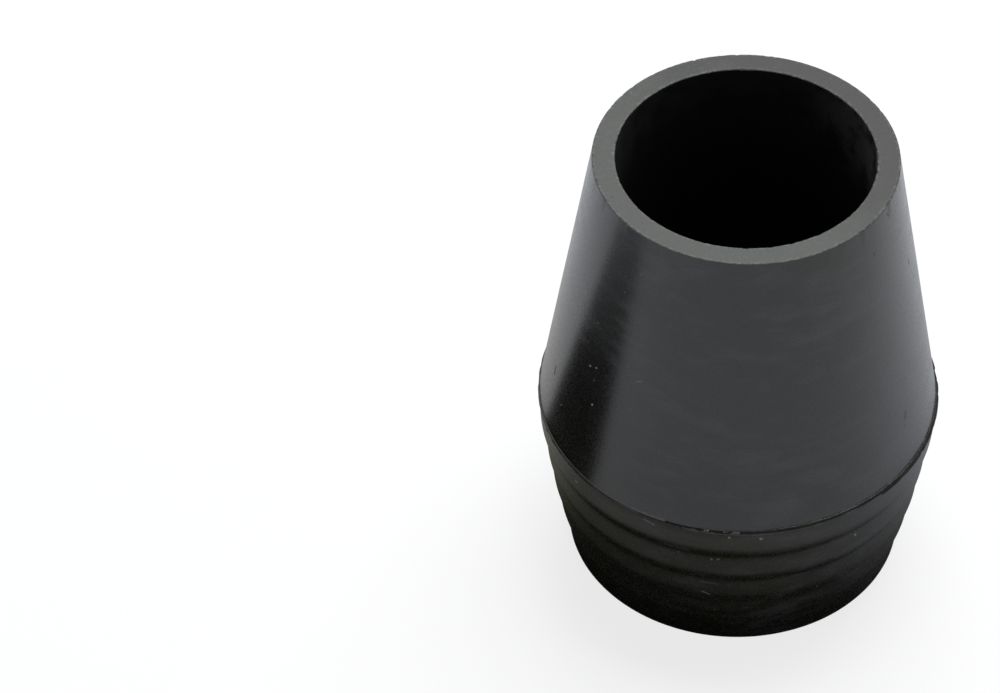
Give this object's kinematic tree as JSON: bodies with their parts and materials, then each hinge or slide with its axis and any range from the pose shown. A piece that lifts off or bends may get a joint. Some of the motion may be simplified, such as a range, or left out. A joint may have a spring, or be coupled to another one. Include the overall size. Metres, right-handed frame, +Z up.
{
  "type": "drum stand rubber foot",
  "caption": "Round black rubber foot for a stand's leg: a tapering cone with a blind socket for the tube, above stepped bands and a flat sole.",
  "frame": {"origin": "centre of the sole, on the surface that the foot stands on", "axes": "+Z up along the foot's axis, out of the socket's mouth; X and Y are any two directions across it"},
  "size_m": [0.0357, 0.0356, 0.045],
  "materials": {
    "rubber": "satin moulded rubber"
  },
  "bodies": {
    "root": {"foot": "rubber"}
  },
  "joints": []
}
